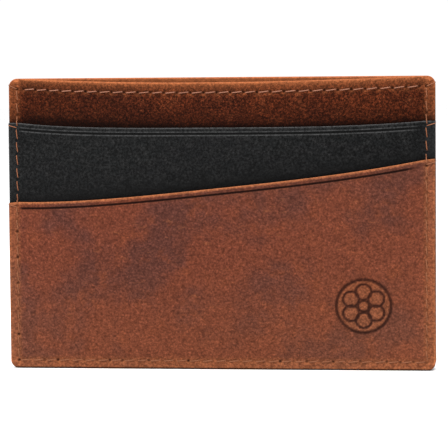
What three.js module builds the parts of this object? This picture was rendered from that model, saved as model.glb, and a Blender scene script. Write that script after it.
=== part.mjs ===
// A slim leather card holder: two lined panels sewn together on three sides around a centre pocket,
// with two card pockets on the front and two on the back. Every mouth edge is turned over a tape.
// Millimetres. +X runs across the wallet, +Z up from its bottom seam, and the front faces -Y.
import * as THREE from "three";

// Outline
const WIDTH = 100;
const HEIGHT = 68.2;
const CORNER_RADIUS = 2;
const SEAM_MARGIN = 2; // from the cut edge to the side and bottom stitches
const FLAT_MARGIN = 2.4; // the plies lie flat on each other this far in from the cut edge
const MOUTH_STITCH_DEPTH = 2.4; // from a panel's mouth edge to its stitches

// Plies, from the middle of the wallet outwards on either side
const THICKNESS = { lining: 0.2, panel: 0.9, upperPocket: 0.8, lowerPocket: 0.8 };
const PLY_GAP = 0.06;

// Mouth edges
const UPPER_LIP = 57.8;
const LOWER_LIP_LEFT = 39;
const LOWER_LIP_RIGHT = 49.1;
const LINING_STOP = 1.6; // the lining ends this far below the panel's mouth edge
const LINING_TRIM = 0.5; // and this far above the bottom of the seam
const HEM_DEPTH = 7;
const HEM_LEAF = 0.27; // each leaf of the skived leather that is turned over the tape
const HEM_END_GAP = 0.3;
const TAPE_THICKNESS = 0.1;
const TAPE_WIDTH = 6;

// The front stands forward of its seams, and each pocket a little more than the ply behind it.
// As it bows, its mouth edges sag between the side seams.
const BULGE = 5.9;
const BULGE_TURN = 2.0; // radians of a sine between the bottom seam and the mouth
const BULGE_PEAK_X = -5;
const BULGE_FULLNESS = 2.6;
const SLOT_GAP = { upperPocket: 0.5, lowerPocket: 0.65 };
const SLOT_POWER = 1.5; // a pocket stands off the ply behind it mostly near its mouth
const LIP_SAG = { lining: 1.1, panel: 1.15, upperPocket: 1.15, lowerPocket: 1.35 };
const SAG_FULLNESS = { lining: 2, panel: 2, upperPocket: 3.6, lowerPocket: 3.2 };

// Threads
const THREAD_RADIUS = 0.2;
const THREAD_LIFT = 0.05; // clear of the leather it lies on
const THREAD_SIDES = 6;
const INNER_THREAD_REACH = 42; // the inner mouth threads stop where the seams close the centre pocket
const OUTER_THREAD_REACH = 46.6;
const SEAM_THREAD_TOP = HEIGHT - 1.8;
const STEP_CLEAR = 1.2; // above a pocket's mouth edge, where the seam thread leaves the ply behind it
const LOOP_PITCH = 0.5; // between the two turns of thread round the side edge
const LOOP_DEPTH = { panel: MOUTH_STITCH_DEPTH, upperPocket: 1.3, lowerPocket: 1.3 }; // below the mouth edge

// Mesh steps
const BULGE_COLUMNS = 18;
const ROW_HEIGHT = 5.6;
const CORNER_STEPS = 3;
const FOLD_STEPS = 4;

const HALF_WIDTH = WIDTH / 2;
const FLAT_EDGE = HALF_WIDTH - FLAT_MARGIN;
const FRONT = -1;
const BACK = 1;

// Distance of each ply's inner face from the middle plane, where the plies lie flat
const INNER_FACE = {};
let stackDepth = PLY_GAP / 2;
for (const [ply, thickness] of Object.entries(THICKNESS)) {
  INNER_FACE[ply] = stackDepth;
  stackDepth += thickness + PLY_GAP;
}

const outerFace = (ply) => INNER_FACE[ply] + THICKNESS[ply];

function lipHeight(ply, x) {
  if (ply === "upperPocket") return UPPER_LIP;
  if (ply === "lining") return HEIGHT - LINING_STOP;
  if (ply === "panel") return HEIGHT;
  return THREE.MathUtils.mapLinear(x, -HALF_WIDTH, HALF_WIDTH, LOWER_LIP_LEFT, LOWER_LIP_RIGHT);
}

// How far the rounded corners cut into the outline at x, up from the bottom or down from the top
function cornerCut(x) {
  const inside = Math.max(0, Math.abs(x) - (HALF_WIDTH - CORNER_RADIUS));
  return CORNER_RADIUS - Math.sqrt(Math.max(0, CORNER_RADIUS ** 2 - inside ** 2));
}

// 0 at the side seams, 1 where the front stands furthest forward: the fuller, the flatter between
function bulgeShare(x, fullness = BULGE_FULLNESS) {
  const reach = FLAT_EDGE - Math.sign(x - BULGE_PEAK_X) * BULGE_PEAK_X;
  return Math.max(0, 1 - (Math.abs(x - BULGE_PEAK_X) / reach) ** fullness);
}

// 0 at the bottom seam, 1 at the given height
const riseTo = (z, top) => Math.max(0, (z - FLAT_MARGIN) / (top - FLAT_MARGIN));

function forwardOf(ply, x, z) {
  const panel = BULGE * Math.sin(BULGE_TURN * riseTo(z, HEIGHT));
  const slot = (pocket) => SLOT_GAP[pocket] * riseTo(z, lipHeight(pocket, x)) ** SLOT_POWER;
  const [upperSlot, lowerSlot] = [slot("upperPocket"), slot("lowerPocket")];
  const slots = { lining: 0, panel: 0, upperPocket: upperSlot, lowerPocket: upperSlot + lowerSlot };
  return bulgeShare(x) * (panel + slots[ply]);
}

// A point of a ply, given its distance from the middle plane in the flat stack
function place(side, ply, x, depth, z) {
  if (side === BACK) return new THREE.Vector3(x, depth, z);
  const sag = LIP_SAG[ply] * bulgeShare(x, SAG_FULLNESS[ply]) * riseTo(z, lipHeight(ply, x)) ** 2;
  return new THREE.Vector3(x, -depth - forwardOf(ply, x, z), z - sag);
}

// Positions across the wallet: corner arcs at both ends, and even steps across the bulge
function columns(side) {
  const right = [FLAT_EDGE];
  for (let i = CORNER_STEPS; i >= 0; i--) {
    const turn = (Math.PI / 2) * (i / CORNER_STEPS);
    right.push(HALF_WIDTH - CORNER_RADIUS * (1 - Math.cos(turn)));
  }
  const middle = [];
  const steps = side === FRONT ? BULGE_COLUMNS : 1;
  for (let i = 1; i < steps; i++) middle.push(THREE.MathUtils.lerp(-FLAT_EDGE, FLAT_EDGE, i / steps));
  return [...right.map((x) => -x).reverse(), ...middle, ...right];
}

// Even heights from the edge of the flat seam to a top: as many on a ply wherever its mouth slants
function rows(side, ply, top) {
  const count = side === FRONT ? Math.round((lipHeight(ply, 0) - HEM_DEPTH) / ROW_HEIGHT) : 1;
  return Array.from({ length: count + 1 }, (_, i) => THREE.MathUtils.lerp(FLAT_MARGIN, top, i / count));
}

// Section of a turned-edge leather ply at x, as [distance from the inner face, height] pairs:
// up the outer face, over the fold, down the turned leaf, round the tape slot, down the inner face.
function turnedSection(side, ply, x) {
  const thickness = THICKNESS[ply];
  const fold = thickness / 2;
  const bottom = cornerCut(x);
  const lip = lipHeight(ply, x) - (ply === "panel" ? cornerCut(x) : 0);
  const hem = lipHeight(ply, x) - HEM_DEPTH;
  const outer = [bottom, ...rows(side, ply, hem), lip - fold];
  const section = outer.map((z) => [thickness, z]);
  for (let i = 1; i <= FOLD_STEPS; i++) {
    const turn = Math.PI * (i / FOLD_STEPS);
    section.push([fold + fold * Math.cos(turn), lip - fold + fold * Math.sin(turn)]);
  }
  section.push([0, hem + HEM_END_GAP], [HEM_LEAF, hem + HEM_END_GAP], [HEM_LEAF, lip - fold]);
  section.push([thickness - HEM_LEAF, lip - fold], [thickness - HEM_LEAF, hem], [0, hem]);
  const inner = [bottom, ...rows(side, ply, hem).slice(0, -1)].reverse();
  return [...section, ...inner.map((z) => [0, z])];
}

function flatSection(side, ply, x) {
  const levels = [cornerCut(x) + LINING_TRIM, ...rows(side, ply, lipHeight(ply, x) - cornerCut(x))];
  const up = levels.map((z) => [THICKNESS[ply], z]);
  return [...up, ...levels.reverse().map((z) => [0, z])];
}

function tapeSection(ply, x) {
  const inner = (THICKNESS[ply] - TAPE_THICKNESS) / 2;
  const low = lipHeight(ply, x) - HEM_DEPTH + HEM_END_GAP;
  const corners = [[inner, low], [inner, low + TAPE_WIDTH]];
  return [...corners.map(([depth, z]) => [depth + TAPE_THICKNESS, z]), ...corners.reverse()];
}

// A closed surface through rings of points, with flat ends cut as the outline `end` is.
// Each four-cornered face is split along its shorter diagonal, so that neighbouring plies split alike.
function loft(rings, end) {
  const size = end.length;
  const points = rings.flat();
  const triangles = [];
  for (let r = 0; r + 1 < rings.length; r++) {
    for (let i = 0; i < size; i++) {
      const [a, b] = [r * size + i, r * size + ((i + 1) % size)];
      const [c, d] = [b + size, a + size];
      if (points[a].distanceTo(points[c]) < points[b].distanceTo(points[d])) {
        triangles.push([a, b, c], [a, c, d]);
      } else {
        triangles.push([a, b, d], [b, c, d]);
      }
    }
  }
  const last = (rings.length - 1) * size;
  for (const [a, b, c] of THREE.ShapeUtils.triangulateShape(end, [])) {
    triangles.push([c, b, a], [last + a, last + b, last + c]);
  }
  const volumeUnder = ([a, b, c]) => points[a].dot(points[b].clone().cross(points[c]));
  const volume = triangles.reduce((sum, corners) => sum + volumeUnder(corners), 0);
  if (volume < 0) triangles.forEach((corners) => corners.reverse());
  return new THREE.BufferGeometry().setFromPoints(points).setIndex(triangles.flat());
}

function plyGeometry(side, ply, sectionAt, across = columns(side)) {
  const sections = across.map((x) => sectionAt(x));
  const rings = sections.map((section, i) =>
    section.map(([depth, z]) => place(side, ply, across[i], INNER_FACE[ply] + depth, z)),
  );
  return loft(rings, sections[0].map(([depth, z]) => new THREE.Vector2(depth, z)));
}

// A round thread along a route of points
function threadGeometry(route) {
  const round = Array.from({ length: THREAD_SIDES }, (_, i) => {
    const turn = (2 * Math.PI * i) / THREAD_SIDES;
    return new THREE.Vector2(THREAD_RADIUS * Math.cos(turn), THREAD_RADIUS * Math.sin(turn));
  });
  const normal = new THREE.Vector3(0, FRONT, 0); // every route starts square to Y
  const before = route[1].clone().sub(route[0]).normalize();
  const rings = route.map((point, i) => {
    const along = new THREE.Vector3();
    if (i > 0) along.add(point.clone().sub(route[i - 1]).normalize());
    if (i + 1 < route.length) along.add(route[i + 1].clone().sub(point).normalize());
    along.normalize();
    normal.applyQuaternion(new THREE.Quaternion().setFromUnitVectors(before, along));
    before.copy(along);
    const across = along.clone().cross(normal);
    return round.map(({ x, y }) => point.clone().addScaledVector(normal, x).addScaledVector(across, y));
  });
  return loft(rings, round);
}

// Thread centre line on the outer face of a ply
function onPly(side, ply, x, z) {
  return place(side, ply, x, outerFace(ply) + THREAD_LIFT + THREAD_RADIUS, z);
}

function outerMouthThread(side) {
  const inside = columns(side).filter((x) => Math.abs(x) < OUTER_THREAD_REACH);
  const across = [-OUTER_THREAD_REACH, ...inside, OUTER_THREAD_REACH];
  return threadGeometry(across.map((x) => onPly(side, "panel", x, HEIGHT - MOUTH_STITCH_DEPTH)));
}

function innerMouthThread(side) {
  const inside = columns(side).filter((x) => Math.abs(x) < INNER_THREAD_REACH);
  const across = [-INNER_THREAD_REACH, ...inside, INNER_THREAD_REACH];
  const depth = INNER_FACE.lining - THREAD_LIFT - THREAD_RADIUS;
  return threadGeometry(across.map((x) => place(side, "lining", x, depth, HEIGHT - MOUTH_STITCH_DEPTH)));
}

// Two turns of thread round the side edge, from the front seam line to beside the back one
function edgeLoop(ply, hand) {
  const x = hand * (HALF_WIDTH - SEAM_MARGIN);
  const edge = hand * (HALF_WIDTH + THREAD_LIFT + THREAD_RADIUS);
  const stop = x + hand * 3 * THREAD_RADIUS;
  const upper = lipHeight(ply, x) - LOOP_DEPTH[ply];
  const turnAt = (z) => [
    onPly(FRONT, ply, x, z),
    onPly(FRONT, ply, edge, z),
    onPly(BACK, ply, edge, z),
    onPly(BACK, ply, stop, z),
  ];
  return [...turnAt(upper), ...turnAt(upper - LOOP_PITCH).reverse()];
}

// One side of the seam thread, from its top down to the corner, stepping in at each pocket's mouth
function sideRoute(side, hand) {
  const x = hand * (HALF_WIDTH - SEAM_MARGIN);
  const cornerTurn = CORNER_RADIUS / 2;
  const bottoms = {
    panel: UPPER_LIP + STEP_CLEAR,
    upperPocket: lipHeight("lowerPocket", x) + STEP_CLEAR,
    lowerPocket: SEAM_MARGIN + cornerTurn,
  };
  const route = [];
  for (const [ply, bottom] of Object.entries(bottoms)) {
    const top = ply === "panel" ? SEAM_THREAD_TOP : lipHeight(ply, x) + STEP_CLEAR / 3;
    const loop = side === FRONT ? edgeLoop(ply, hand) : [];
    route.push(onPly(side, ply, x, top), ...loop, onPly(side, ply, x, bottom));
  }
  return [...route, onPly(side, "lowerPocket", x - hand * cornerTurn, SEAM_MARGIN)];
}

function seamThread(side) {
  return threadGeometry([...sideRoute(side, -1), ...sideRoute(side, 1).reverse()]);
}

// Materials
const leather = (color) => new THREE.MeshStandardMaterial({ color, roughness: 0.6, metalness: 0 });
const brownPanelLeather = () => leather(0x4a2614);
const blackLeather = () => leather(0x262626);
const brownPocketLeather = () => leather(0x84462d);
const liningCloth = () => new THREE.MeshStandardMaterial({ color: 0x2b2521, roughness: 0.9, metalness: 0 });
const nylonTape = () => new THREE.MeshStandardMaterial({ color: 0xd8d2c4, roughness: 0.8, metalness: 0 });
const waxedThread = () => new THREE.MeshStandardMaterial({ color: 0xa9683f, roughness: 0.7, metalness: 0 });

const wallet = new THREE.Group();

function addPiece(name, geometry, material) {
  const piece = new THREE.Mesh(geometry, material);
  piece.name = name;
  wallet.add(piece);
}

const LEATHERS = [
  ["panel", "panel", brownPanelLeather],
  ["upper_pocket", "upperPocket", blackLeather],
  ["lower_pocket", "lowerPocket", brownPocketLeather],
];

for (const [side, sideName] of [[FRONT, "front"], [BACK, "back"]]) {
  const insideCorners = columns(side).filter((x) => Math.abs(x) <= HALF_WIDTH - CORNER_RADIUS);
  for (const [pieceName, ply, material] of LEATHERS) {
    const turned = plyGeometry(side, ply, (x) => turnedSection(side, ply, x));
    const tape = plyGeometry(side, ply, (x) => tapeSection(ply, x), insideCorners);
    addPiece(`${sideName}_${pieceName}`, turned, material());
    addPiece(`${sideName}_${pieceName}_mouth_tape`, tape, nylonTape());
  }
  const insideEdges = columns(side).filter((x) => Math.abs(x) < HALF_WIDTH);
  const lining = plyGeometry(side, "lining", (x) => flatSection(side, "lining", x), insideEdges);
  addPiece(`${sideName}_panel_lining`, lining, liningCloth());
  addPiece(`${sideName}_mouth_outer_thread`, outerMouthThread(side), waxedThread());
  addPiece(`${sideName}_mouth_inner_thread`, innerMouthThread(side), waxedThread());
  addPiece(`${sideName}_seam_thread`, seamThread(side), waxedThread());
}

// The origin is the middle of the footprint, on the surface that the bottom seam stands on
const extent = new THREE.Box3().setFromObject(wallet);
wallet.position.y = -(extent.min.y + extent.max.y) / 2;

export default wallet;
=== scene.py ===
"""Looks of a slim leather card holder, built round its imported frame.

Lengths are in millimetres until a mesh is made. Tones and shares run from 0 to 1.
"""

import math

import bpy
import numpy as np
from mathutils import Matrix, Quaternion, Vector


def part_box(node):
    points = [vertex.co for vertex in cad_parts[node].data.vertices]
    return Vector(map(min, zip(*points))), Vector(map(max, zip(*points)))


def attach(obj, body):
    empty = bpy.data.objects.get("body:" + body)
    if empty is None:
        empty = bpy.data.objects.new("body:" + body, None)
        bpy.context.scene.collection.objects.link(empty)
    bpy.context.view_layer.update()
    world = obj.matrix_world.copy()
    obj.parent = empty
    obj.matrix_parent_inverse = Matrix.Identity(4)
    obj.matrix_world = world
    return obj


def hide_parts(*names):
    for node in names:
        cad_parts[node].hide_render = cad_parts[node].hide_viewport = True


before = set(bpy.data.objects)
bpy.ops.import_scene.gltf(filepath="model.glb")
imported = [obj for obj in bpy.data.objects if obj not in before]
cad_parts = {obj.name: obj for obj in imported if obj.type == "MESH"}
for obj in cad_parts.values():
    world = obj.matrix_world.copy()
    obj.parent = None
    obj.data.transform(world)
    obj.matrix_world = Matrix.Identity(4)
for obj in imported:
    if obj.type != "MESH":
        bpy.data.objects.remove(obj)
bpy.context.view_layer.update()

MM = 0.001
FRONT, BACK = -1, 1
BODY = "root"

# ---------------------------------------------------------------- driving dimensions
# The outline comes from the frame; the plies repeat the part's own stack.
HALF_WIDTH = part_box("front_panel")[1].x / MM
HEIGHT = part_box("front_panel")[1].z / MM
UPPER_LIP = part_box("front_upper_pocket")[1].z / MM
LOWER_LIP_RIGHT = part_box("front_lower_pocket")[1].z / MM
LOWER_LIP_RISE = 10.1
PLY_GAP = 0.06
MIDDLE_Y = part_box("back_panel_lining")[0].y / MM - PLY_GAP / 2
THICKNESS = {"lining": 0.2, "panel": 0.9, "upper_pocket": 0.8, "lower_pocket": 0.8}

CORNER_RADIUS = 2.0
SEAM_MARGIN = 2.0
FLAT_MARGIN = 2.4
MOUTH_STITCH_DEPTH = 2.4
SIDE_ROW = HALF_WIDTH - SEAM_MARGIN
MOUTH_ROW = HEIGHT - MOUTH_STITCH_DEPTH
HEM_DEPTH = 7.0
HEM_LEAF = 0.27
HEM_END_GAP = 0.3
SLOT_INSET = 1.6  # the tape slot is pressed shut this near the side edges
SLOT_CLOSING = 0.5
SHUT_SLOT = 0.02
LINING_STOP = 1.6
LINING_TRIM = 0.5
LINING_SIDE_TRIM = 0.3

BULGE = 5.9
BULGE_TURN = 2.0
BULGE_PEAK_X = -5.0
BULGE_FULLNESS = 2.6
BACK_SLOT_SHARE = 0.5  # the flat back's card slots stand open by this share of the front's
SLOT_GAP = {"upper_pocket": 0.5, "lower_pocket": 0.65}
SLOT_POWER = 1.5
LIP_SAG = {"lining": 1.1, "panel": 1.15, "upper_pocket": 1.15, "lower_pocket": 1.35}
SAG_FULLNESS = {"lining": 2.0, "panel": 2.0, "upper_pocket": 3.6, "lower_pocket": 3.2}
SLOW_SOFTNESS = 0.085
QUICK_SOFTNESS = 0.025
BACK_SOFTNESS = 0.5  # share of the front's

EDGE_ROUND = 0.28
CREASE_BELOW_LIP = 1.45
CREASE_WIDTH = 0.28
CREASE_DEPTH = 0.15
CREASE_FADE = 5.0
RIDGE_OFFSET = 0.4  # the leather stands up on both sides of a crease
RIDGE_WIDTH = 0.12
RIDGE_HEIGHT = 0.05
LIP_SWELLING = 0.06

STITCH_PITCH = 3.1
STITCH_RADIUS = 0.118
STITCH_SLANT = 0.3
STITCH_INSET = 0.1  # share of a stitch left free at each hole
STITCH_DIVE = 0.36
STITCH_RISE = 0.46
STITCH_OVER_EDGE = 0.45  # this near a covering mouth, a stitch lies on the ply in front
INNER_STITCH_INSET = 0.06
INNER_STITCH_DIVE = 0.3
INNER_STITCH_RISE = 0.42
THREAD_RIDGE = 0.09
THREAD_TURNS_PER_MM = 1.1
EDGE_LOOP_THINNING = 0.85
EDGE_LOOP_BELOW = {"panel": MOUTH_STITCH_DEPTH, "upper_pocket": 1.1, "lower_pocket": 1.1}
EDGE_LOOP_RISE = {"panel": 0.9, "upper_pocket": 0.6, "lower_pocket": 0.6}
ROW_WIDTH = 0.5
ROW_DEPTH = 0.08
ROW_REACH = 2.6  # no hole shows further than this from its row
HOLE_RADIUS = 0.36
HOLE_DEPTH = 0.16  # less than the leaf of leather over the tape
# How open each hole is: this sets its depth and the painted shade in it
HOLE_OPENING = (0.2, 1.0)
HOLE_OPENING_POWER = 1.8
MOUTH_HOLE_OPENING = 0.85  # the least of the mouth row's
RUB_X, RUB_Z = 0.1, -0.38  # from a hole to the rubbed leather beside it
RUB_RADIUS = 0.5
MOUTH_STITCH_REACH = 46.4
INNER_STITCH_REACH = 40.0

MARK_X = 33.5
MARK_Z = 15.2
MARK_RADIUS = 6.3
MARK_LINE = 0.3
MARK_DEPTH = 0.16
MARK_FIELD_DEPTH = 0.05
MARK_RING_SHARE = 0.75  # distances from the outer ring count this much, so its line is wider
MARK_CENTRE = 0.2  # the rest of the mark as shares of its radius
PETALS = 6
PETAL_RADIUS = 0.29
PETAL_REACH = 0.53

# Steps of the meshes
FINE_STEP = 0.14
STEP = 0.27
HIDDEN_STEP = 3.0
HIDDEN_OVERLAP = 3.0
FINE_MARGIN = 3.2
EDGE_STEPS = 6
FOLD_STEPS = 10
BOTTOM_STEPS = 5
FOLD_TURNS = np.linspace(0, math.pi, FOLD_STEPS + 1)[1:]  # radians round the turned mouth
LINING_COLUMNS = 140
LINING_ROWS = 90

# Tones of the leather, each with its reach in millimetres
WEAR_SHARE = {"panel": 1.0, "upper_pocket": 0.15, "lower_pocket": 1.0}
MARGIN_WEAR, MARGIN_REACH = 0.3, (1.7, 3.4)
EDGE_WEAR, EDGE_WEAR_REACH = 0.45, 0.5
HOLE_WEAR = 0.4
ROW_WEAR = 0.1
# Wear along the panel's mouth, partly a painted highlight below its fold
PANEL_MOUTH_WEAR_AND_HIGHLIGHT, PANEL_MOUTH_REACHES = 0.5, (0.7, 1.8)
LEFT_SHADE, LEFT_SHADE_X, LEFT_SHADE_EDGE = 0.3, (-45, 0), (2.0, 5.0)
# Painted highlights on the ridges beside a pocket's crease
UPPER_RIDGE_HIGHLIGHT = 0.6
LOWER_RIDGE_HIGHLIGHT = 0.1
# Wear at the lower pocket's mouth, partly a painted highlight on its fold
LOWER_LIP_WEAR_AND_HIGHLIGHT, LOWER_LIP_REACH = 0.8, 0.5
# Painted light: the lower pocket is made lighter towards the bottom and towards the right
LOW_PAINTED_LIGHT, LOW_PAINTED_LIGHT_Z = 0.16, (0, 32)
RIGHT_PAINTED_LIGHT, RIGHT_PAINTED_LIGHT_X = 0.05, (-20, 40)
LIP_SHADE, LIP_SHADE_START, LIP_SHADE_END = 0.16, (0.5, 0.7), 0.3
CONTACT_SHADE, CONTACT_REACH, CONTACT_POWER = 0.68, 1.5, 1.3
COVER_SHADE, COVER_REACH = 0.32, 4.5
COVER_START = 0.2
COVERED_WEAR = (-1.0, 0.4)
MARK_BURN = 0.78
MARK_WEAR = 0.3
# Painted contact shadow along the bottom edge: how far up it reaches
BOTTOM_SHADOW_REACH = 0.42
INSIDE_WEAR = 0.75
MOUTH_SHADE = 0.4  # of the insides of the mouths
# Wear on each turned mouth fold, rising to full round it: partly the lighter tone of bent leather, partly a
# painted highlight
FOLD_WEAR_AND_HIGHLIGHT = {"panel": 0.9, "upper_pocket": 0.1, "lower_pocket": 0.8}  # where the turned mouth begins
FOLD_HIGHLIGHT_TURN = (0.6, 1.2)
FOLD_SHADE_TURN = (2.5, 3.1)
RIM_WIDTH = (0.35, 0.2)
RIM_START = (-0.6, -0.3)

PLIES = list(THICKNESS)
INNER_FACE = {}
stack = PLY_GAP / 2
for ply_name in PLIES:
    INNER_FACE[ply_name] = stack
    stack += THICKNESS[ply_name] + PLY_GAP


def outer_face(ply):
    return INNER_FACE[ply] + THICKNESS[ply]


def fade(value, start, end):
    """0 at the start, 1 at the end, with a soft beginning and end."""
    t = np.clip((value - start) / (end - start), 0, 1)
    return t * t * (3 - 2 * t)


def bell(distance, reach, power=2):
    """1 at no distance and 0 well past the reach; a higher power makes a flatter top."""
    return np.exp(-((distance / reach) ** power))


# ---------------------------------------------------------------- shape of the wallet
def lip_height(ply, x):
    x = np.asarray(x, float)
    if ply == "lower_pocket":
        return LOWER_LIP_RIGHT - LOWER_LIP_RISE * (HALF_WIDTH - x) / (2 * HALF_WIDTH)
    heights = {"lining": HEIGHT - LINING_STOP, "panel": HEIGHT, "upper_pocket": UPPER_LIP}
    return np.full_like(x, heights[ply])


def corner_cut(x):
    """Height of a rounded corner's edge over the straight edge."""
    inside = np.maximum(0, np.abs(x) - (HALF_WIDTH - CORNER_RADIUS))
    return CORNER_RADIUS - np.sqrt(np.maximum(0, CORNER_RADIUS**2 - inside**2))


def bulge_share(x, fullness=BULGE_FULLNESS):
    """0 at the side seams, 1 where the front stands furthest forward."""
    flat_edge = HALF_WIDTH - FLAT_MARGIN
    reach = flat_edge - np.sign(x - BULGE_PEAK_X) * BULGE_PEAK_X
    return np.maximum(0, 1 - np.abs((x - BULGE_PEAK_X) / reach) ** fullness)


def rise_to(z, top):
    """0 at the bottom seam, 1 at the given height."""
    return np.maximum(0, (z - FLAT_MARGIN) / (top - FLAT_MARGIN))


def softness(x, z):
    """Hand-made unevenness that all plies of a side share, in millimetres."""
    slow = np.sin(x / 9.1 + 1.3 * np.sin(z / 13.0)) * np.sin(z / 7.7 + 0.8 * np.sin(x / 17.0))
    quick = np.sin(x / 3.7 + z / 5.3) * np.sin(z / 4.1 - x / 8.9)
    return SLOW_SOFTNESS * slow + QUICK_SOFTNESS * quick


def forward_of(side, ply, x, z):
    """How far a ply stands out from its place in the flat stack."""
    upper, lower = (SLOT_GAP[p] * rise_to(z, lip_height(p, x)) ** SLOT_POWER for p in SLOT_GAP)
    slots = {"upper_pocket": upper, "lower_pocket": upper + lower}.get(ply, 0)
    away_from_seams = np.minimum(1, 3 * bulge_share(x)) * np.minimum(1, 8 * rise_to(z, HEIGHT))
    soft = softness(x, z) * away_from_seams
    if side == BACK:
        return BACK_SLOT_SHARE * bulge_share(x) * slots + BACK_SOFTNESS * soft
    panel = BULGE * np.sin(BULGE_TURN * rise_to(z, HEIGHT))
    return bulge_share(x) * (panel + slots) + soft


def place(side, ply, x, depth, z):
    """Points of a ply in metres, from their distance to the middle plane in the flat stack."""
    x, depth, z = np.broadcast_arrays(*(np.asarray(value, float) for value in (x, depth, z)))
    y = MIDDLE_Y + side * (depth + forward_of(side, ply, x, z))
    if side == FRONT:
        z = z - LIP_SAG[ply] * bulge_share(x, SAG_FULLNESS[ply]) * rise_to(z, lip_height(ply, x)) ** 2
    return np.stack([x, y, z], axis=-1) * MM


# ---------------------------------------------------------------- stitch lines
def stitch_row(start, end):
    """Pairs of (x, z) holes along a row, one pair a stitch."""
    count = round(math.dist(start, end) / STITCH_PITCH)
    holes = list(zip(*(np.linspace(a, b, count + 1) for a, b in zip(start, end))))
    return list(zip(holes, holes[1:]))


MOUTH_STITCHES = stitch_row((-MOUTH_STITCH_REACH, MOUTH_ROW), (MOUTH_STITCH_REACH, MOUTH_ROW))
SEAM_STITCHES = [
    *stitch_row((-SIDE_ROW, SEAM_MARGIN), (-SIDE_ROW, MOUTH_ROW)),
    *stitch_row((SIDE_ROW, SEAM_MARGIN), (SIDE_ROW, MOUTH_ROW)),
    *stitch_row((-SIDE_ROW, SEAM_MARGIN), (SIDE_ROW, SEAM_MARGIN)),
]
HOLES = np.array(sorted({tuple(np.round(p, 4)) for pair in MOUTH_STITCHES + SEAM_STITCHES for p in pair}))


def row_distance(x, z, with_mouth):
    """Distance to the nearest stitch row."""
    rows = np.minimum(np.abs(np.abs(x) - SIDE_ROW), np.abs(z - SEAM_MARGIN))
    if with_mouth:
        rows = np.minimum(rows, np.abs(z - MOUTH_ROW))
    return rows


def near_holes(x, z):
    """How deep in a hole, and how rubbed beside one, each point is; the depth also darkens the colour as
    painted shade in the hole.
    """
    dark, rubbed = np.zeros_like(x), np.zeros_like(x)
    near = row_distance(x, z, with_mouth=True) < ROW_REACH
    near_x, near_z = x[near], z[near]
    hole_dark, hole_rubbed = dark[near], rubbed[near]
    opened = np.random.default_rng(4).uniform(*HOLE_OPENING, len(HOLES)) ** HOLE_OPENING_POWER
    for (hole_x, hole_z), share in zip(HOLES, opened):
        if hole_z > MOUTH_ROW - ROW_REACH:
            share = MOUTH_HOLE_OPENING + (1 - MOUTH_HOLE_OPENING) * share
        away = np.hypot(near_x - hole_x, near_z - hole_z)
        hole_dark = np.maximum(hole_dark, share * bell(away, HOLE_RADIUS, 4))
        beside = np.hypot(near_x - hole_x - RUB_X, near_z - hole_z - RUB_Z)
        hole_rubbed = np.maximum(hole_rubbed, share * bell(beside, RUB_RADIUS))
    dark[near], rubbed[near] = hole_dark, hole_rubbed
    return dark, rubbed


# ---------------------------------------------------------------- stamped mark
def mark_lines(x, z):
    """How far on the lines of a plain flower in a ring, and how far inside the ring, each point is."""
    from_x, from_z = x - MARK_X, z - MARK_Z
    r = np.hypot(from_x, from_z)
    lines = np.abs(r - MARK_CENTRE * MARK_RADIUS)
    for i in range(PETALS):
        turn = 2 * math.pi * (i + 0.5) / PETALS
        petal_x = PETAL_REACH * MARK_RADIUS * math.cos(turn)
        petal_z = PETAL_REACH * MARK_RADIUS * math.sin(turn)
        from_petal = np.hypot(from_x - petal_x, from_z - petal_z)
        lines = np.minimum(lines, np.abs(from_petal - PETAL_RADIUS * MARK_RADIUS))
    lines = np.minimum(lines, np.abs(r - MARK_RADIUS) * MARK_RING_SHARE)
    return bell(lines, MARK_LINE, 4), 1 - fade(r, MARK_RADIUS - 0.3, MARK_RADIUS + 0.4)


# ---------------------------------------------------------------- leather surfaces
def crease_share(x):
    """1 where the crease under a pocket's mouth is deep, 0 at the side seams."""
    return fade(SIDE_ROW + x, 0.3, 1.5) * fade(SIDE_ROW - x, 0.5, CREASE_FADE)


def panel_tones(x, below, edge):
    """Wear with a painted highlight at the panel's mouth, and painted shade towards its left."""
    wear_and_painted_light = PANEL_MOUTH_WEAR_AND_HIGHLIGHT * sum(bell(below, reach) for reach in PANEL_MOUTH_REACHES)
    shade = LEFT_SHADE * (1 - fade(x, *LEFT_SHADE_X)) * fade(edge, *LEFT_SHADE_EDGE)
    return wear_and_painted_light, shade


def crease_relief(x, below):
    """Relief, and how far in the crease and on its ridges each point is, under a pocket's mouth."""
    crease = crease_share(x)
    valley = bell(below - CREASE_BELOW_LIP, CREASE_WIDTH, 4) * crease
    ridges = bell(np.abs(below - CREASE_BELOW_LIP) - RIDGE_OFFSET, RIDGE_WIDTH) * crease
    swelling = np.sin(math.pi * np.clip(below / CREASE_BELOW_LIP, 0, 1))
    relief = RIDGE_HEIGHT * ridges - CREASE_DEPTH * valley + LIP_SWELLING * swelling
    return relief, valley, ridges


def lower_pocket_tones(x, z, below, ridges):
    """Wear with painted highlights at the mouth and on the crease's ridges, painted light towards the bottom
    and the right, and painted shade between the mouth and the crease.
    """
    wear_and_painted_light = LOWER_RIDGE_HIGHLIGHT * ridges + LOWER_LIP_WEAR_AND_HIGHLIGHT * bell(below, LOWER_LIP_REACH, 4)
    wear_and_painted_light += LOW_PAINTED_LIGHT * (1 - fade(z, *LOW_PAINTED_LIGHT_Z)) + RIGHT_PAINTED_LIGHT * fade(x, *RIGHT_PAINTED_LIGHT_X)
    over_crease = 1 - fade(below, CREASE_BELOW_LIP - LIP_SHADE_END, CREASE_BELOW_LIP)
    return wear_and_painted_light, LIP_SHADE * fade(below, *LIP_SHADE_START) * over_crease


def cover_tones(ply, x, z):
    """Shade over the mouth of the ply in front, and how far each point is out from behind it."""
    above = z - lip_height(PLIES[PLIES.index(ply) + 1], x)
    clear = np.maximum(above + COVER_START, 0)
    shade = CONTACT_SHADE * bell(clear, CONTACT_REACH, CONTACT_POWER) + COVER_SHADE * bell(clear, COVER_REACH)
    return shade, fade(above, *COVERED_WEAR)


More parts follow.
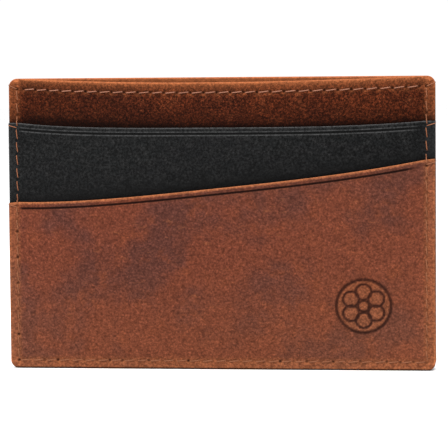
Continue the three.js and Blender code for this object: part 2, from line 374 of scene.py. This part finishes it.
def leather_detail(side, ply, x, z):
    """Relief in millimetres, and the tones of the colour on a ply's outer face: wear, which also holds
    painted highlights and painted light; burn, which also holds painted shade in holes and creases and a
    painted contact shadow at the bottom; and painted shade.
    """
    below = lip_height(ply, x) - z
    edge = np.minimum(HALF_WIDTH - np.abs(x), z)
    # Holes sink the relief and, through the burn tone, darken the colour as painted shade.
    dark, rubbed = near_holes(x, z)
    row = bell(row_distance(x, z, ply == "panel"), ROW_WIDTH)
    relief = -ROW_DEPTH * row - HOLE_DEPTH * dark
    # The burn tone also takes a painted contact shadow along the bottom edge.
    burn_and_shade = dark + bell(z, BOTTOM_SHADOW_REACH, 4)
    margin = MARGIN_WEAR * (1 - fade(edge, *MARGIN_REACH)) + EDGE_WEAR * bell(edge, EDGE_WEAR_REACH)
    wear_and_painted_light = WEAR_SHARE[ply] * (margin + HOLE_WEAR * rubbed + ROW_WEAR * row)
    shade = np.zeros_like(x)
    if ply == "panel":
        mouth_wear_and_light, left_shade = panel_tones(x, below, edge)
        wear_and_painted_light += mouth_wear_and_light
        shade += left_shade
    else:
        pressed, valley, ridges = crease_relief(x, below)
        relief += pressed
        # The crease is darkened by hot creasing and also carries painted shade in its valley.
        burn_and_shade += valley
    if ply == "upper_pocket":
        # Painted highlights along the ridges beside the black pocket's crease.
        wear_and_painted_light += UPPER_RIDGE_HIGHLIGHT * ridges
    if ply == "lower_pocket":
        mouth_wear_and_light, lip_shade = lower_pocket_tones(x, z, below, ridges)
        wear_and_painted_light += mouth_wear_and_light
        shade += lip_shade
    else:
        cover_shade, uncovered = cover_tones(ply, x, z)
        shade += cover_shade
        wear_and_painted_light *= uncovered
    if side == FRONT and ply == "lower_pocket":
        lines, inside = mark_lines(x, z)
        relief -= MARK_DEPTH * lines + MARK_FIELD_DEPTH * inside
        burn_and_shade += MARK_BURN * lines
        wear_and_painted_light += MARK_WEAR * inside * (1 - lines)
    return relief, np.clip(wear_and_painted_light, 0, 1), np.clip(burn_and_shade, 0, 1), np.clip(shade, 0, 1)


def steps_from_edge():
    """Distances from a rounded edge, fine on the round and over the seam."""
    rounding = EDGE_ROUND * (1 - np.cos(np.linspace(0, math.pi / 2, EDGE_STEPS)))
    return np.concatenate([rounding, np.arange(EDGE_ROUND + FINE_STEP, FINE_MARGIN, FINE_STEP)])


def columns():
    """Positions across a ply: fine at the sides, where the edge is rounded."""
    outer = steps_from_edge()
    inner = HALF_WIDTH - outer[-1]
    middle = np.linspace(-inner, inner, round(2 * inner / STEP) + 1)[1:-1]
    return np.concatenate([-HALF_WIDTH + outer, middle, (HALF_WIDTH - outer)[::-1]])


def row_heights(ply, bottom, top):
    """Heights of a ply's outer rows at each column: fine at both ends, coarse behind the ply in front."""
    low = steps_from_edge()
    high = np.arange(FINE_MARGIN, 0, -FINE_STEP)
    lowest_lip = {"panel": UPPER_LIP, "upper_pocket": LOWER_LIP_RIGHT - LOWER_LIP_RISE}.get(ply, 0)
    start, stop = bottom + low[-1], top - high[0]
    span = float(np.max(stop) - low[-1])
    hidden = max(0.0, lowest_lip - HIDDEN_OVERLAP - low[-1])
    parts = []
    if hidden > 0:
        parts.append(np.linspace(0, hidden / span, round(hidden / HIDDEN_STEP) + 1)[1:])
    parts.append(np.linspace(hidden / span, 1, round((span - hidden) / STEP) + 1)[1:-1])
    share = np.concatenate(parts)
    return np.concatenate([
        bottom[:, None] + low,
        start[:, None] + share * (stop - start)[:, None],
        top[:, None] - high,
    ], axis=1)


def edge_pull(distance):
    """How far a face is pulled in near a rounded edge."""
    inside = np.clip(EDGE_ROUND - distance, 0, EDGE_ROUND)
    return EDGE_ROUND - np.sqrt(np.maximum(0, EDGE_ROUND**2 - inside**2))


def mouth_top(ply, x):
    """Top of a ply: the panel has rounded corners at its mouth too."""
    return lip_height(ply, x) - (corner_cut(x) if ply == "panel" else 0)


def mouth_route(ply, x):
    """Depths and heights over the mouth of a ply and round the slot for its tape."""
    base, thickness = INNER_FACE[ply], THICKNESS[ply]
    fold = thickness / 2
    top = mouth_top(ply, x)
    hem = lip_height(ply, x) - HEM_DEPTH
    from_side = HALF_WIDTH - np.abs(x)
    side_pull = edge_pull(from_side)
    shut = 1 - fade(from_side, SLOT_INSET, SLOT_INSET + SLOT_CLOSING)
    leaf = HEM_LEAF + (fold - SHUT_SLOT / 2 - HEM_LEAF) * shut
    return [
        (base + fold + (fold - side_pull) * np.cos(FOLD_TURNS), top - fold + fold * np.sin(FOLD_TURNS)),
        (base + side_pull, hem + HEM_END_GAP),
        (base + leaf, hem + HEM_END_GAP),
        (base + leaf, top - fold),
        (base + thickness - leaf, top - fold),
        (base + thickness - leaf, hem),
        (base + side_pull, hem),
    ]


def inside_route(ply, x):
    """Depths and heights down the inner face of a ply and round its bottom edge."""
    base = INNER_FACE[ply]
    hem = lip_height(ply, x) - HEM_DEPTH
    bottom = corner_cut(x)
    side_pull = edge_pull(HALF_WIDTH - np.abs(x))
    down = np.linspace(1, 0, round(float(np.min(hem)) / HIDDEN_STEP))[1:-1]
    low_z = bottom + EDGE_ROUND * (1 - np.cos(np.linspace(math.pi / 2, 0, BOTTOM_STEPS)))
    return [
        (base + side_pull, bottom + EDGE_ROUND + (hem - bottom - EDGE_ROUND) * down),
        (base + np.maximum(edge_pull(low_z - bottom), side_pull), low_z),
    ]


def leather_rings(side, ply):
    """Rings of points round a turned-edge ply, one ring a column, with the tones of each point."""
    x = columns()
    bottom = corner_cut(x)
    z = row_heights(ply, bottom, mouth_top(ply, x) - THICKNESS[ply] / 2)
    grid_x = np.repeat(x[:, None], z.shape[1], axis=1)
    relief, wear_and_painted_light, burn_and_shade, shade = leather_detail(side, ply, grid_x, z)
    from_edge = np.minimum(HALF_WIDTH - np.abs(grid_x), z - bottom[:, None])
    outer = outer_face(ply) + relief * fade(from_edge, 0, 0.5) - edge_pull(from_edge)
    x = x[:, None]
    route = [(outer, z), *mouth_route(ply, x), *inside_route(ply, x)]
    rings = np.concatenate([place(side, ply, x, depth, height) for depth, height in route], axis=1)
    heights = np.concatenate([height for _, height in route], axis=1)
    return rings, ring_tones(ply, x, heights, wear_and_painted_light, burn_and_shade, shade)


def ring_tones(ply, x, heights, wear_and_painted_light, burn_and_shade, shade):
    """The tones of the outer face, carried on over the mouth and down the inside."""
    rows = wear_and_painted_light.shape[1]
    inside = ((0, 0), (0, heights.shape[1] - rows))
    turned = slice(rows, rows + FOLD_STEPS)
    worn_and_highlight = np.pad(wear_and_painted_light, inside, constant_values=INSIDE_WEAR)
    # The fold of each mouth takes a painted highlight on top of the lighter tone of bent leather.
    worn_and_highlight[:, turned] = FOLD_WEAR_AND_HIGHLIGHT[ply] + (1 - FOLD_WEAR_AND_HIGHLIGHT[ply]) * fade(FOLD_TURNS, *FOLD_HIGHLIGHT_TURN)
    dim = np.pad(shade, inside, constant_values=MOUTH_SHADE)
    dim[:, turned] = MOUTH_SHADE * fade(FOLD_TURNS, *FOLD_SHADE_TURN)
    dim[:, rows:] *= fade(HALF_WIDTH - np.abs(x), EDGE_ROUND, 1.0)
    return {"wear_and_painted_light": worn_and_highlight, "burn_and_shade": np.pad(burn_and_shade, inside), "shade": dim, "rim": rim_tone(ply, x, heights)}


def rim_tone(ply, x, z):
    """The side edges are stained together: 1 where the edge of a ply takes the tone of the ply in front."""
    if ply == "lower_pocket":
        return np.zeros_like(z)
    at_rim = fade(HALF_WIDTH - np.abs(x), *RIM_WIDTH)
    covered = 1 - fade(z - lip_height(PLIES[PLIES.index(ply) + 1], x), *RIM_START)
    if ply == "panel":
        covered = covered * fade(z - lip_height("lower_pocket", x), *RIM_START)
    return at_rim * covered


def loft_mesh(name, rings, outward):
    """A mesh through equal rings of points, with flat ends."""
    count, size = rings.shape[:2]
    first = np.arange(count - 1)[:, None] * size
    i = np.arange(size)[None, :]
    j = (i + 1) % size
    quads = np.stack([first + i, first + j, first + j + size, first + i + size], axis=-1).reshape(-1, 4)
    if outward < 0:
        quads = quads[:, ::-1]
    cap = list(range(size))
    last = [(count - 1) * size + k for k in cap]
    ends = [cap[::-1], last] if outward > 0 else [cap, last[::-1]]
    return smooth_mesh(name, rings.reshape(-1, 3).tolist(), quads.tolist() + ends)


def smooth_mesh(name, vertices, faces):
    mesh = bpy.data.meshes.new(name)
    mesh.from_pydata(vertices, [], faces)
    mesh.update()
    mesh.polygons.foreach_set("use_smooth", [True] * len(mesh.polygons))
    return mesh


def set_attribute(mesh, name, values):
    attribute = mesh.attributes.new(name, "FLOAT", "POINT")
    attribute.data.foreach_set("value", np.asarray(values, np.float32).ravel())


def add_object(name, mesh, material, replaces):
    obj = bpy.data.objects.new(name, mesh)
    bpy.context.scene.collection.objects.link(obj)
    obj.data.materials.append(material)
    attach(obj, BODY)
    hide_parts(replaces)
    return obj


def make_leather(side, side_name, ply, material):
    rings, tones = leather_rings(side, ply)
    mesh = loft_mesh(f"{side_name}_{ply}_leather", rings, outward=-side)
    for name, values in tones.items():
        set_attribute(mesh, name, values)
    add_object(mesh.name, mesh, material, f"{side_name}_{ply}")


# ---------------------------------------------------------------- lining
def make_lining(side, side_name, material):
    x = np.linspace(-HALF_WIDTH + LINING_SIDE_TRIM, HALF_WIDTH - LINING_SIDE_TRIM, LINING_COLUMNS)[:, None]
    bottom = corner_cut(x) + LINING_TRIM
    top = lip_height("lining", x) - corner_cut(x)
    z = bottom + np.linspace(0, 1, LINING_ROWS) * (top - bottom)
    outer = place(side, "lining", x, outer_face("lining"), z)
    inner = place(side, "lining", x, INNER_FACE["lining"], z)[:, ::-1]
    mesh = loft_mesh(f"{side_name}_panel_lining_cloth", np.concatenate([outer, inner], axis=1), outward=-side)
    lining = add_object(mesh.name, mesh, material, f"{side_name}_panel_lining")


# ---------------------------------------------------------------- threads
def cover(x, z):
    """Name of the outermost ply at a point of the outside."""
    if z < lip_height("lower_pocket", x):
        return "lower_pocket"
    return "upper_pocket" if z < UPPER_LIP else "panel"


def on_cover(side, x, z, lift):
    """A point that lies lift above the outside of the wallet, in metres, over the edges of the mouths."""
    near = [cover(x, z + step) for step in (-STITCH_OVER_EDGE, 0, STITCH_OVER_EDGE)]
    ply = max(near, key=PLIES.index)
    return place(side, ply, x, outer_face(ply) + lift, z)


def tube_rings(route, radius=STITCH_RADIUS, sides=10, strands=3):
    """Rings round a route in metres, with the soft ridges of twisted strands."""
    route = np.asarray(route, float)
    along = np.gradient(route, axis=0)
    along /= np.linalg.norm(along, axis=1)[:, None]
    run = np.concatenate([[0], np.cumsum(np.linalg.norm(np.diff(route, axis=0), axis=1))]) / MM
    normal = Vector((0.0, 1.0, 0.0))
    if abs(Vector(along[0]).dot(normal)) > 0.9:
        normal = Vector((0.0, 0.0, 1.0))
    before = Vector(along[0])
    rings = []
    angles = np.linspace(0, 2 * math.pi, sides, endpoint=False)
    for point, direction, length in zip(route, along, run):
        direction = Vector(direction)
        normal = before.rotation_difference(direction) @ normal
        normal = (normal - direction * normal.dot(direction)).normalized()
        across = direction.cross(normal)
        before = direction
        twist = THREAD_TURNS_PER_MM * 2 * math.pi * length
        size = radius * MM * (1 + THREAD_RIDGE * np.cos(strands * angles - twist))
        rings.append(point + size[:, None] * (
            np.cos(angles)[:, None] * np.array(normal) + np.sin(angles)[:, None] * np.array(across)
        ))
    return np.array(rings)


def stitch_lift(t, dive, rise):
    """Height of a stitch over the leather: under it at both ends, flat on it between them."""
    return rise * (1 - np.abs(2 * t - 1) ** 4) - dive


def stitch_route(side, start, end, steps=13):
    """One stitch: it rises out of the first hole, lies on the leather and dives into the second."""
    t = np.linspace(0, 1, steps)
    a, b = np.array(start), np.array(end)
    direction = (b - a) / np.linalg.norm(b - a)
    slant = np.array([-direction[1], direction[0]])
    if abs(direction[0]) > abs(direction[1]):
        slant = slant * np.sign(direction[0])
    along = (b - a) * (STITCH_INSET + (1 - 2 * STITCH_INSET) * t)[:, None]
    centre = a + along + slant * (STITCH_SLANT * (t - 0.5))[:, None]
    lift = stitch_lift(t, STITCH_DIVE, STITCH_RISE)
    return [on_cover(side, x, z, h) for (x, z), h in zip(centre, lift)]


def inner_stitch_route(side, start_x, end_x, steps=11):
    """One stitch of the mouth row on the lining."""
    t = np.linspace(0, 1, steps)
    x = start_x + (end_x - start_x) * (INNER_STITCH_INSET + (1 - 2 * INNER_STITCH_INSET) * t)
    lift = stitch_lift(t, INNER_STITCH_DIVE, INNER_STITCH_RISE)
    return place(side, "lining", x, INNER_FACE["lining"] - lift, MOUTH_ROW)


def join_tubes(name, tubes, material, replaces):
    """Several threads as one piece."""
    vertices, faces = [], []
    for rings in tubes:
        count, size = rings.shape[:2]
        first = len(vertices)
        vertices.extend(rings.reshape(-1, 3).tolist())
        for r in range(count - 1):
            for i in range(size):
                a, b = first + r * size + i, first + r * size + (i + 1) % size
                faces.append((a, a + size, b + size, b))
        faces.append(tuple(range(first, first + size)))
        faces.append(tuple(range(first + count * size - 1, first + (count - 1) * size - 1, -1)))
    add_object(name, smooth_mesh(name, vertices, faces), material, replaces)


def edge_loop(ply, hand):
    """Thread from a front hole round the side edge to the hole behind it, rising on the way."""
    x, edge = hand * SIDE_ROW, hand * HALF_WIDTH
    rim = edge - hand * 0.01
    z = float(lip_height(ply, x)) - EDGE_LOOP_BELOW[ply]
    rise = EDGE_LOOP_RISE[ply]
    face = outer_face(ply)
    over_face = [
        (x, face - 0.25, z),
        (x + hand * 0.25, face + 0.1, z + 0.1 * rise),
        (edge - hand * 0.45, face + 0.12, z + 0.75 * rise),
        (edge - hand * 0.1, face + 0.02, z + 0.9 * rise),
        (rim, face - 0.25, z + rise),
    ]
    points = [place(FRONT, "panel", *point) for point in over_face]
    points += [place(BACK, "panel", *point) for point in reversed(over_face)]
    points = np.array(points)
    steps = np.linspace(0, len(points) - 1, 6 * (len(points) - 1) + 1)
    return np.stack([np.interp(steps, np.arange(len(points)), points[:, k]) for k in range(3)], axis=1)


def make_threads(side, side_name, material, seam_material):
    mouth = [tube_rings(stitch_route(side, *pair)) for pair in MOUTH_STITCHES]
    join_tubes(f"{side_name}_mouth_outer_stitches", mouth, material, f"{side_name}_mouth_outer_thread")
    seam = [tube_rings(stitch_route(side, *pair)) for pair in SEAM_STITCHES]
    if side == FRONT:
        loops = [(ply, hand) for hand in (-1, 1) for ply in PLIES[1:]]
        seam += [tube_rings(edge_loop(*loop), STITCH_RADIUS * EDGE_LOOP_THINNING) for loop in loops]
    join_tubes(f"{side_name}_seam_stitches", seam, seam_material, f"{side_name}_seam_thread")
    ends = [(a, b) for (a, _), (b, _) in MOUTH_STITCHES if max(abs(a), abs(b)) < INNER_STITCH_REACH]
    inner = [tube_rings(inner_stitch_route(side, *pair)) for pair in ends]
    join_tubes(f"{side_name}_mouth_inner_stitches", inner, material, f"{side_name}_mouth_inner_thread")


# ---------------------------------------------------------------- materials
RIM_STAIN = (0.22, 0.082, 0.034)  # the tone of the stained side edges


def tinted(color, gain):
    return tuple(gain * c for c in color)


class Nodes:
    """Short calls for building a material's nodes."""

    def __init__(self, name):
        self.material = bpy.data.materials.new(name)
        self.material.use_nodes = True
        self.tree = self.material.node_tree
        self.shader = self.tree.nodes["Principled BSDF"]
        coordinates = self.tree.nodes.new("ShaderNodeTexCoord")
        self.in_mm = self.add("ShaderNodeVectorMath", operation="SCALE")
        self.in_mm.inputs["Scale"].default_value = 1 / MM
        self.link(coordinates.outputs["Object"], self.in_mm.inputs[0])

    def add(self, kind, **settings):
        node = self.tree.nodes.new(kind)
        for key, value in settings.items():
            setattr(node, key, value)
        return node

    def link(self, output, socket):
        self.tree.links.new(output, socket)

    def stretched(self, scale):
        node = self.add("ShaderNodeMapping")
        node.inputs["Scale"].default_value = scale
        self.link(self.in_mm.outputs[0], node.inputs["Vector"])
        return node.outputs[0]

    def noise(self, scale, detail=3.0, roughness=0.55, stretch=(1, 1, 1)):
        node = self.add("ShaderNodeTexNoise")
        node.inputs["Scale"].default_value = scale
        node.inputs["Detail"].default_value = detail
        node.inputs["Roughness"].default_value = roughness
        self.link(self.stretched(stretch), node.inputs["Vector"])
        return node.outputs["Fac"]

    def cells(self, scale, feature="F1", stretch=(1, 1, 1)):
        node = self.add("ShaderNodeTexVoronoi", feature=feature)
        node.inputs["Scale"].default_value = scale
        self.link(self.stretched(stretch), node.inputs["Vector"])
        return node.outputs["Distance"]

    def span(self, value, low, high, to_low=0.0, to_high=1.0):
        node = self.add("ShaderNodeMapRange", interpolation_type="SMOOTHSTEP")
        limits = {"From Min": low, "From Max": high, "To Min": to_low, "To Max": to_high}
        for key, number in limits.items():
            node.inputs[key].default_value = number
        self.link(value, node.inputs["Value"])
        return node.outputs[0]

    def math(self, operation, a, b):
        node = self.add("ShaderNodeMath", operation=operation)
        for socket, value in zip(node.inputs, (a, b)):
            if isinstance(value, (int, float)):
                socket.default_value = value
            else:
                self.link(value, socket)
        return node.outputs[0]

    def centred(self, value, gain):
        """A noise about 0.5 turned into one about 0."""
        return self.math("MULTIPLY", self.math("SUBTRACT", value, 0.5), gain)

    def scaled(self, color, factor):
        node = self.add("ShaderNodeVectorMath", operation="SCALE")
        self.link(color, node.inputs[0])
        self.link(factor, node.inputs["Scale"])
        return node.outputs[0]

    def mix(self, share, a, b):
        node = self.add("ShaderNodeMix", data_type="RGBA", blend_type="MIX")
        for key, value in (("Factor", share), ("A", a), ("B", b)):
            socket = next(s for s in node.inputs if s.name == key and s.enabled)
            if isinstance(value, tuple):
                socket.default_value = (*value, 1)
            elif isinstance(value, (int, float)):
                socket.default_value = value
            else:
                self.link(value, socket)
        return next(s for s in node.outputs if s.enabled)

    def attribute(self, name):
        return self.add("ShaderNodeAttribute", attribute_name=name).outputs["Fac"]

    def bump(self, height, distance):
        node = self.add("ShaderNodeBump")
        node.inputs["Strength"].default_value = 1.0
        node.inputs["Distance"].default_value = distance * MM
        self.link(height, node.inputs["Height"])
        self.link(node.outputs[0], self.shader.inputs["Normal"])

    def finish(self, color, roughness, specular):
        self.link(color, self.shader.inputs["Base Color"])
        if isinstance(roughness, float):
            self.shader.inputs["Roughness"].default_value = roughness
        else:
            self.link(roughness, self.shader.inputs["Roughness"])
        self.shader.inputs["Specular IOR Level"].default_value = specular
        return self.material


def pull_up_leather(name, body, dark, light, worn_and_highlight, rim, grain):
    """Waxed brown leather: mottled and grainy, lighter where bent or rubbed, dark where pressed, with painted
    highlights on the mouth folds, painted light low and right on the lower pocket, and painted shade in
    holes, creases, along the bottom and where the shade tone says.
    """
    n = Nodes(name)
    broad, cloudy = n.noise(0.055, 3.0, 0.6), n.noise(0.24, 5.0, 0.65)
    fine, speckle = n.noise(2.1, 5.0, 0.8), n.noise(2.9, 2.0, 0.6)
    pores = n.cells(1.5, "SMOOTH_F1", (1.0, 1.0, 1.2))
    color = n.mix(n.span(broad, 0.44, 0.62, 0.0, 0.85), body, dark)
    color = n.mix(n.span(cloudy, 0.5, 0.72, 0.0, 0.55), color, light)
    flecks = n.span(fine, 0.4, 0.72)
    color = n.scaled(color, n.math("ADD", 1 - 0.3 * grain, n.math("MULTIPLY", flecks, 1.5 * grain)))
    color = n.scaled(color, n.math("ADD", 1.0, n.centred(speckle, 1.2 * grain)))
    # The worn colour serves for rubbed leather and also for painted highlights and painted light.
    rubbed = n.mix(n.span(fine, 0.38, 0.62), tinted(worn_and_highlight, 0.62), tinted(worn_and_highlight, 1.25))
    scuffs = n.span(n.noise(0.8, 4.0, 0.65, (0.3, 1.0, 1.5)), 0.6, 0.72, 0.0, 0.3)
    wear_and_painted_light = n.math("MAXIMUM", n.attribute("wear_and_painted_light"), scuffs)
    color = n.mix(n.math("MULTIPLY", wear_and_painted_light, n.span(speckle, 0.3, 0.6, 0.75, 1.1)), color, rubbed)
    # Painted highlight where the wear tone is near full, as along the mouth folds.
    color = n.mix(n.span(wear_and_painted_light, 0.85, 1.0, 0.0, 0.8), color, tinted(worn_and_highlight, 1.7))
    color = n.scaled(color, n.math("ADD", 1.0, n.centred(pores, -0.8)))
    color = n.mix(n.attribute("rim"), color, rim)
    color = n.mix(n.math("MULTIPLY", n.attribute("shade"), 0.92), color, tinted(dark, 0.12))
    # Burn: creasing and the stamped mark, with painted shade in holes and creases and a painted contact
    # shadow along the bottom.
    color = n.mix(n.attribute("burn_and_shade"), color, tinted(dark, 0.12))
    height = n.math("ADD", n.math("MULTIPLY", pores, -0.7), fine)
    n.bump(n.math("ADD", height, cloudy), 0.1)
    return n.finish(color, n.span(fine, 0.3, 0.7, 0.48, 0.66), 0.025)


def black_leather():
    """Satin black leather with a fine grain and soft wrinkles, grey where an edge is rubbed, with painted
    grey highlights along the lip fold and the ridges of the crease.
    """
    n = Nodes("black_leather")
    fine, soft = n.noise(1.9, 5.0, 0.75), n.noise(0.45, 4.0, 0.6, (1.0, 1.0, 1.8))
    pores = n.cells(1.5, "SMOOTH_F1", (1.0, 1.0, 1.3))
    color = n.mix(n.span(soft, 0.35, 0.65), (0.0032, 0.0034, 0.0035), (0.0056, 0.0056, 0.0056))
    color = n.scaled(color, n.math("MAXIMUM", n.math("ADD", 1.0, n.centred(fine, 11.0)), 0.2))
    # Grey from rubbed edges, together with painted highlights on the lip fold and the crease ridges.
    rubbed = n.math("MULTIPLY", n.attribute("wear_and_painted_light"), n.span(fine, 0.35, 0.6, 0.3, 0.9))
    color = n.mix(rubbed, color, (0.085, 0.085, 0.085))
    color = n.mix(n.attribute("rim"), color, RIM_STAIN)
    color = n.mix(n.math("MULTIPLY", n.attribute("shade"), 0.8), color, (0.0008, 0.0008, 0.0008))
    # Burn darkens the crease and the holes: creasing, with painted shade.
    color = n.mix(n.attribute("burn_and_shade"), color, (0.001, 0.001, 0.001))
    wrinkles = n.math("ADD", fine, n.math("MULTIPLY", soft, 1.5))
    n.bump(n.math("ADD", n.math("MULTIPLY", pores, -0.8), wrinkles), 0.1)
    return n.finish(color, n.span(fine, 0.3, 0.7, 0.4, 0.6), 0.05)


def woven_cloth(name, warp, weft, threads_per_mm):
    """Plain weave of a thin cloth."""
    n = Nodes(name)
    bands = []
    for direction in ("X", "Z"):
        wave = n.add("ShaderNodeTexWave", bands_direction=direction)
        wave.inputs["Scale"].default_value = threads_per_mm / 2
        wave.inputs["Distortion"].default_value = 0.6
        n.link(n.in_mm.outputs[0], wave.inputs["Vector"])
        bands.append(wave.outputs["Fac"])
    color = n.mix(bands[0], warp, weft)
    color = n.mix(n.span(n.noise(0.3, 4.0), 0.3, 0.7, 0.0, 0.3), color, tinted(warp, 0.6))
    n.bump(n.math("ADD", bands[0], bands[1]), 0.04)
    return n.finish(color, 0.85, 0.2)


def sewing_thread(name, dark, light):
    """Waxed thread: fine fibres over the twisted strands of the mesh."""
    n = Nodes(name)
    fibres = n.noise(9.0, 3.0, 0.7)
    color = n.mix(n.span(fibres, 0.3, 0.7), dark, light)
    color = n.mix(n.span(n.noise(0.4, 2.0), 0.35, 0.7, 0.0, 0.4), color, dark)
    n.bump(fibres, 0.05)
    return n.finish(color, 0.62, 0.1)


# ---------------------------------------------------------------- stage, lights, camera
def make_camera():
    azimuth, elevation, roll = map(math.radians, (7.0, 4.0, -0.49))
    distance = 0.56
    target = Vector((0.001, 0.0, 0.5 * HEIGHT * MM))
    away = Vector((
        math.sin(azimuth) * math.cos(elevation),
        -math.cos(azimuth) * math.cos(elevation),
        math.sin(elevation),
    ))
    data = bpy.data.cameras.new("camera")
    data.sensor_width = 36.0
    data.lens = 193.4
    data.clip_start = 0.01
    camera = bpy.data.objects.new("camera", data)
    camera.location = target + away * distance
    turn = (-away).to_track_quat("-Z", "Y") @ Quaternion((0, 0, 1), roll)
    camera.rotation_euler = turn.to_euler()
    bpy.context.scene.collection.objects.link(camera)
    bpy.context.scene.camera = camera


def add_area_light(name, place_at, target, size, power):
    data = bpy.data.lights.new(name, "AREA")
    data.shape = "RECTANGLE"
    data.size, data.size_y = size
    data.energy = power
    light = bpy.data.objects.new(name, data)
    light.location = place_at
    light.rotation_euler = (Vector(target) - Vector(place_at)).to_track_quat("-Z", "Y").to_euler()
    bpy.context.scene.collection.objects.link(light)


def make_lights(world_strength=1.06):
    world = bpy.data.worlds.new("studio")
    world.use_nodes = True
    background = world.node_tree.nodes["Background"]
    background.inputs["Color"].default_value = (1.0, 1.0, 1.0, 1)
    background.inputs["Strength"].default_value = world_strength
    bpy.context.scene.world = world
    add_area_light("top_light", (-0.05, -0.22, 0.62), target=(0.0, 0.0, 0.03), size=(0.7, 0.4), power=7.0)
    add_area_light("front_light", (-0.3, -0.8, 0.1), target=(0.0, 0.0, 0.01), size=(0.7, 0.3), power=3.0)


def make_floor(white=0.945):
    bpy.ops.mesh.primitive_plane_add(size=6.0, location=(0, 0, 0))
    floor = bpy.context.object
    floor.name = "floor"
    material = bpy.data.materials.new("pale_floor")
    material.use_nodes = True
    shader = material.node_tree.nodes["Principled BSDF"]
    shader.inputs["Base Color"].default_value = (white, white, white, 1)
    shader.inputs["Roughness"].default_value = 0.6
    floor.data.materials.append(material)


def main():
    bpy.context.scene.view_settings.view_transform = "Standard"
    make_camera()
    make_lights()
    make_floor()
    panel = pull_up_leather(
        "dark_brown_leather", body=(0.032, 0.0066, 0.0022), dark=(0.022, 0.0046, 0.0018),
        light=(0.060, 0.0150, 0.0055), worn_and_highlight=(0.180, 0.054, 0.019), rim=(0.002, 0.002, 0.002), grain=2.0,
    )
    pocket = pull_up_leather(
        "red_brown_leather", body=(0.078, 0.0210, 0.0112), dark=(0.047, 0.0165, 0.0122),
        light=(0.100, 0.0262, 0.0115), worn_and_highlight=(0.20, 0.066, 0.026), rim=RIM_STAIN, grain=0.7,
    )
    leathers = {
        "panel": (panel, "brown_panel_leather"),
        "upper_pocket": (black_leather(), "black_leather"),
        "lower_pocket": (pocket, "brown_pocket_leather"),
    }
    lining = woven_cloth("lining_weave", (0.030, 0.022, 0.018), (0.045, 0.034, 0.028), 4.0)
    tape = woven_cloth("tape_weave", (0.70, 0.66, 0.58), (0.78, 0.74, 0.66), 3.0)
    thread = sewing_thread("brown_thread", (0.15, 0.057, 0.033), (0.29, 0.135, 0.086))
    seam_thread = sewing_thread("dark_brown_thread", (0.115, 0.040, 0.019), (0.25, 0.098, 0.048))
    for side, side_name in ((FRONT, "front"), (BACK, "back")):
        for ply, (material, slot) in leathers.items():
            make_leather(side, side_name, ply, material)
            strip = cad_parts[f"{side_name}_{ply}_mouth_tape"]
            strip.data.materials.clear()
            strip.data.materials.append(tape)
        make_lining(side, side_name, lining)
        make_threads(side, side_name, thread, seam_thread)


main()
